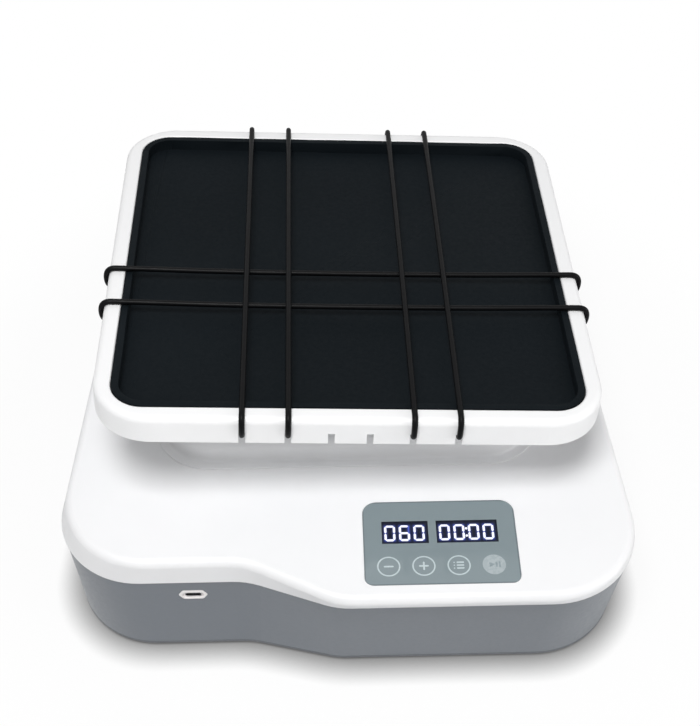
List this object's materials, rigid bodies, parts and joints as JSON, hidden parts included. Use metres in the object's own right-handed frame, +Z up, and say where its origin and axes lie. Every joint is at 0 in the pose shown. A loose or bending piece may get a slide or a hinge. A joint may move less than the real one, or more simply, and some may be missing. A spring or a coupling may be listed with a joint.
{
  "type": "laboratory shaker",
  "caption": "Square rimmed tray with a rubber mat and elastic loops rocking on an inclined bearing above a belt-driven base with a touch panel",
  "frame": {"origin": "middle of the base's outline, on the surface that the feet stand on", "axes": "+Z up, -Y towards the operator and the touch panel, +X to the operator's right"},
  "size_m": [0.3044, 0.3246, 0.1561],
  "materials": {
    "white_plastic": "satin moulded",
    "tray_plastic": "satin moulded",
    "grey_plastic": "fine satin texture",
    "plate_steel": "powder coated",
    "foot_rubber": "matt",
    "mat_rubber": "fine matt",
    "elastic": "matt",
    "panel_film": "glossy",
    "dark_window": "glossy",
    "lit_digits": "lit white",
    "screw_steel": "zinc plated",
    "shaft_steel": "ground",
    "bearing_steel": "polished",
    "turned_aluminium": "turned",
    "chassis_steel": "zinc plated sheet",
    "motor_case": "black",
    "belt_rubber": "matt",
    "board_green": "solder mask",
    "chip_black": "moulded",
    "pad_foam": "conductive foam",
    "port_white": "satin",
    "port_metal": "plated",
    "guide_acetal": "natural acetal",
    "lead_sleeve": "sleeved"
  },
  "bodies": {
    "base": {"top_cover": "white_plastic", "lower_housing": "grey_plastic", "bottom_plate": "plate_steel", "rubber_feet": "foot_rubber", "cover_screws": "screw_steel", "plate_screws": "screw_steel", "panel_overlay": "panel_film", "speed_window": "dark_window", "timer_window": "dark_window", "speed_digits": "lit_digits", "timer_digits": "lit_digits", "speed_display": "chip_black", "timer_display": "chip_black", "touch_pads": "pad_foam", "control_board": "board_green", "board_screws": "screw_steel", "board_components": "chip_black", "buzzer": "chip_black", "port_bezel": "port_white", "port_shell": "port_metal", "port_tongue": "chip_black", "port_board": "board_green", "port_screws": "screw_steel", "chassis_plate": "chassis_steel", "chassis_standoffs": "turned_aluminium", "chassis_screws": "screw_steel", "motor_body": "motor_case", "motor_screws": "screw_steel", "drive_belt": "belt_rubber", "bearing_housing": "turned_aluminium", "housing_screws": "screw_steel", "shaft_bearing_outer_rings": "bearing_steel", "shaft_bearing_balls": "bearing_steel", "shaft_seal": "belt_rubber", "anti_rotation_guides": "guide_acetal", "guide_screws": "screw_steel", "motor_lead": "lead_sleeve", "port_lead": "lead_sleeve"},
    "drive_rotor": {"drive_shaft": "shaft_steel", "driven_pulley": "turned_aluminium", "shaft_collar": "shaft_steel", "shaft_bearing_inner_rings": "bearing_steel", "inclined_head": "turned_aluminium", "head_grub_screw": "screw_steel", "tray_bearing_inner_rings": "bearing_steel", "tray_bearing_balls": "bearing_steel", "stub_washer": "screw_steel", "stub_screw": "screw_steel"},
    "motor_rotor": {"motor_shaft": "shaft_steel", "motor_pulley": "turned_aluminium"},
    "tray": {"tray_shell": "tray_plastic", "tray_mat": "mat_rubber", "tray_hub": "turned_aluminium", "hub_circlip": "screw_steel", "hub_screws": "screw_steel", "anti_rotation_pin": "shaft_steel", "tray_bearing_outer_rings": "bearing_steel", "elastic_loop_left": "elastic", "elastic_loop_right": "elastic", "elastic_loop_side": "elastic"}
  },
  "joints": [
    {"name": "drive_spin", "type": "hinge", "parent": "base", "child": "drive_rotor", "pos_m": [0, 0.0195, 0.05], "axis": [0, 0, 1], "continuous": true},
    {"name": "tray_nutation", "type": "hinge", "parent": "drive_rotor", "child": "tray", "pos_m": [0, 0.0195, 0.1068], "axis": [0.0476, 0.1122, 0.9925], "continuous": true},
    {"name": "motor_spin", "type": "hinge", "parent": "base", "child": "motor_rotor", "pos_m": [-0.085, 0.0195, 0.05], "axis": [0, 0, 1], "continuous": true}
  ],
  "couplings": [
    {"joint": "tray_nutation", "follows": "drive_spin", "ratio": -1},
    {"joint": "motor_spin", "follows": "drive_spin", "ratio": 3}
  ]
}
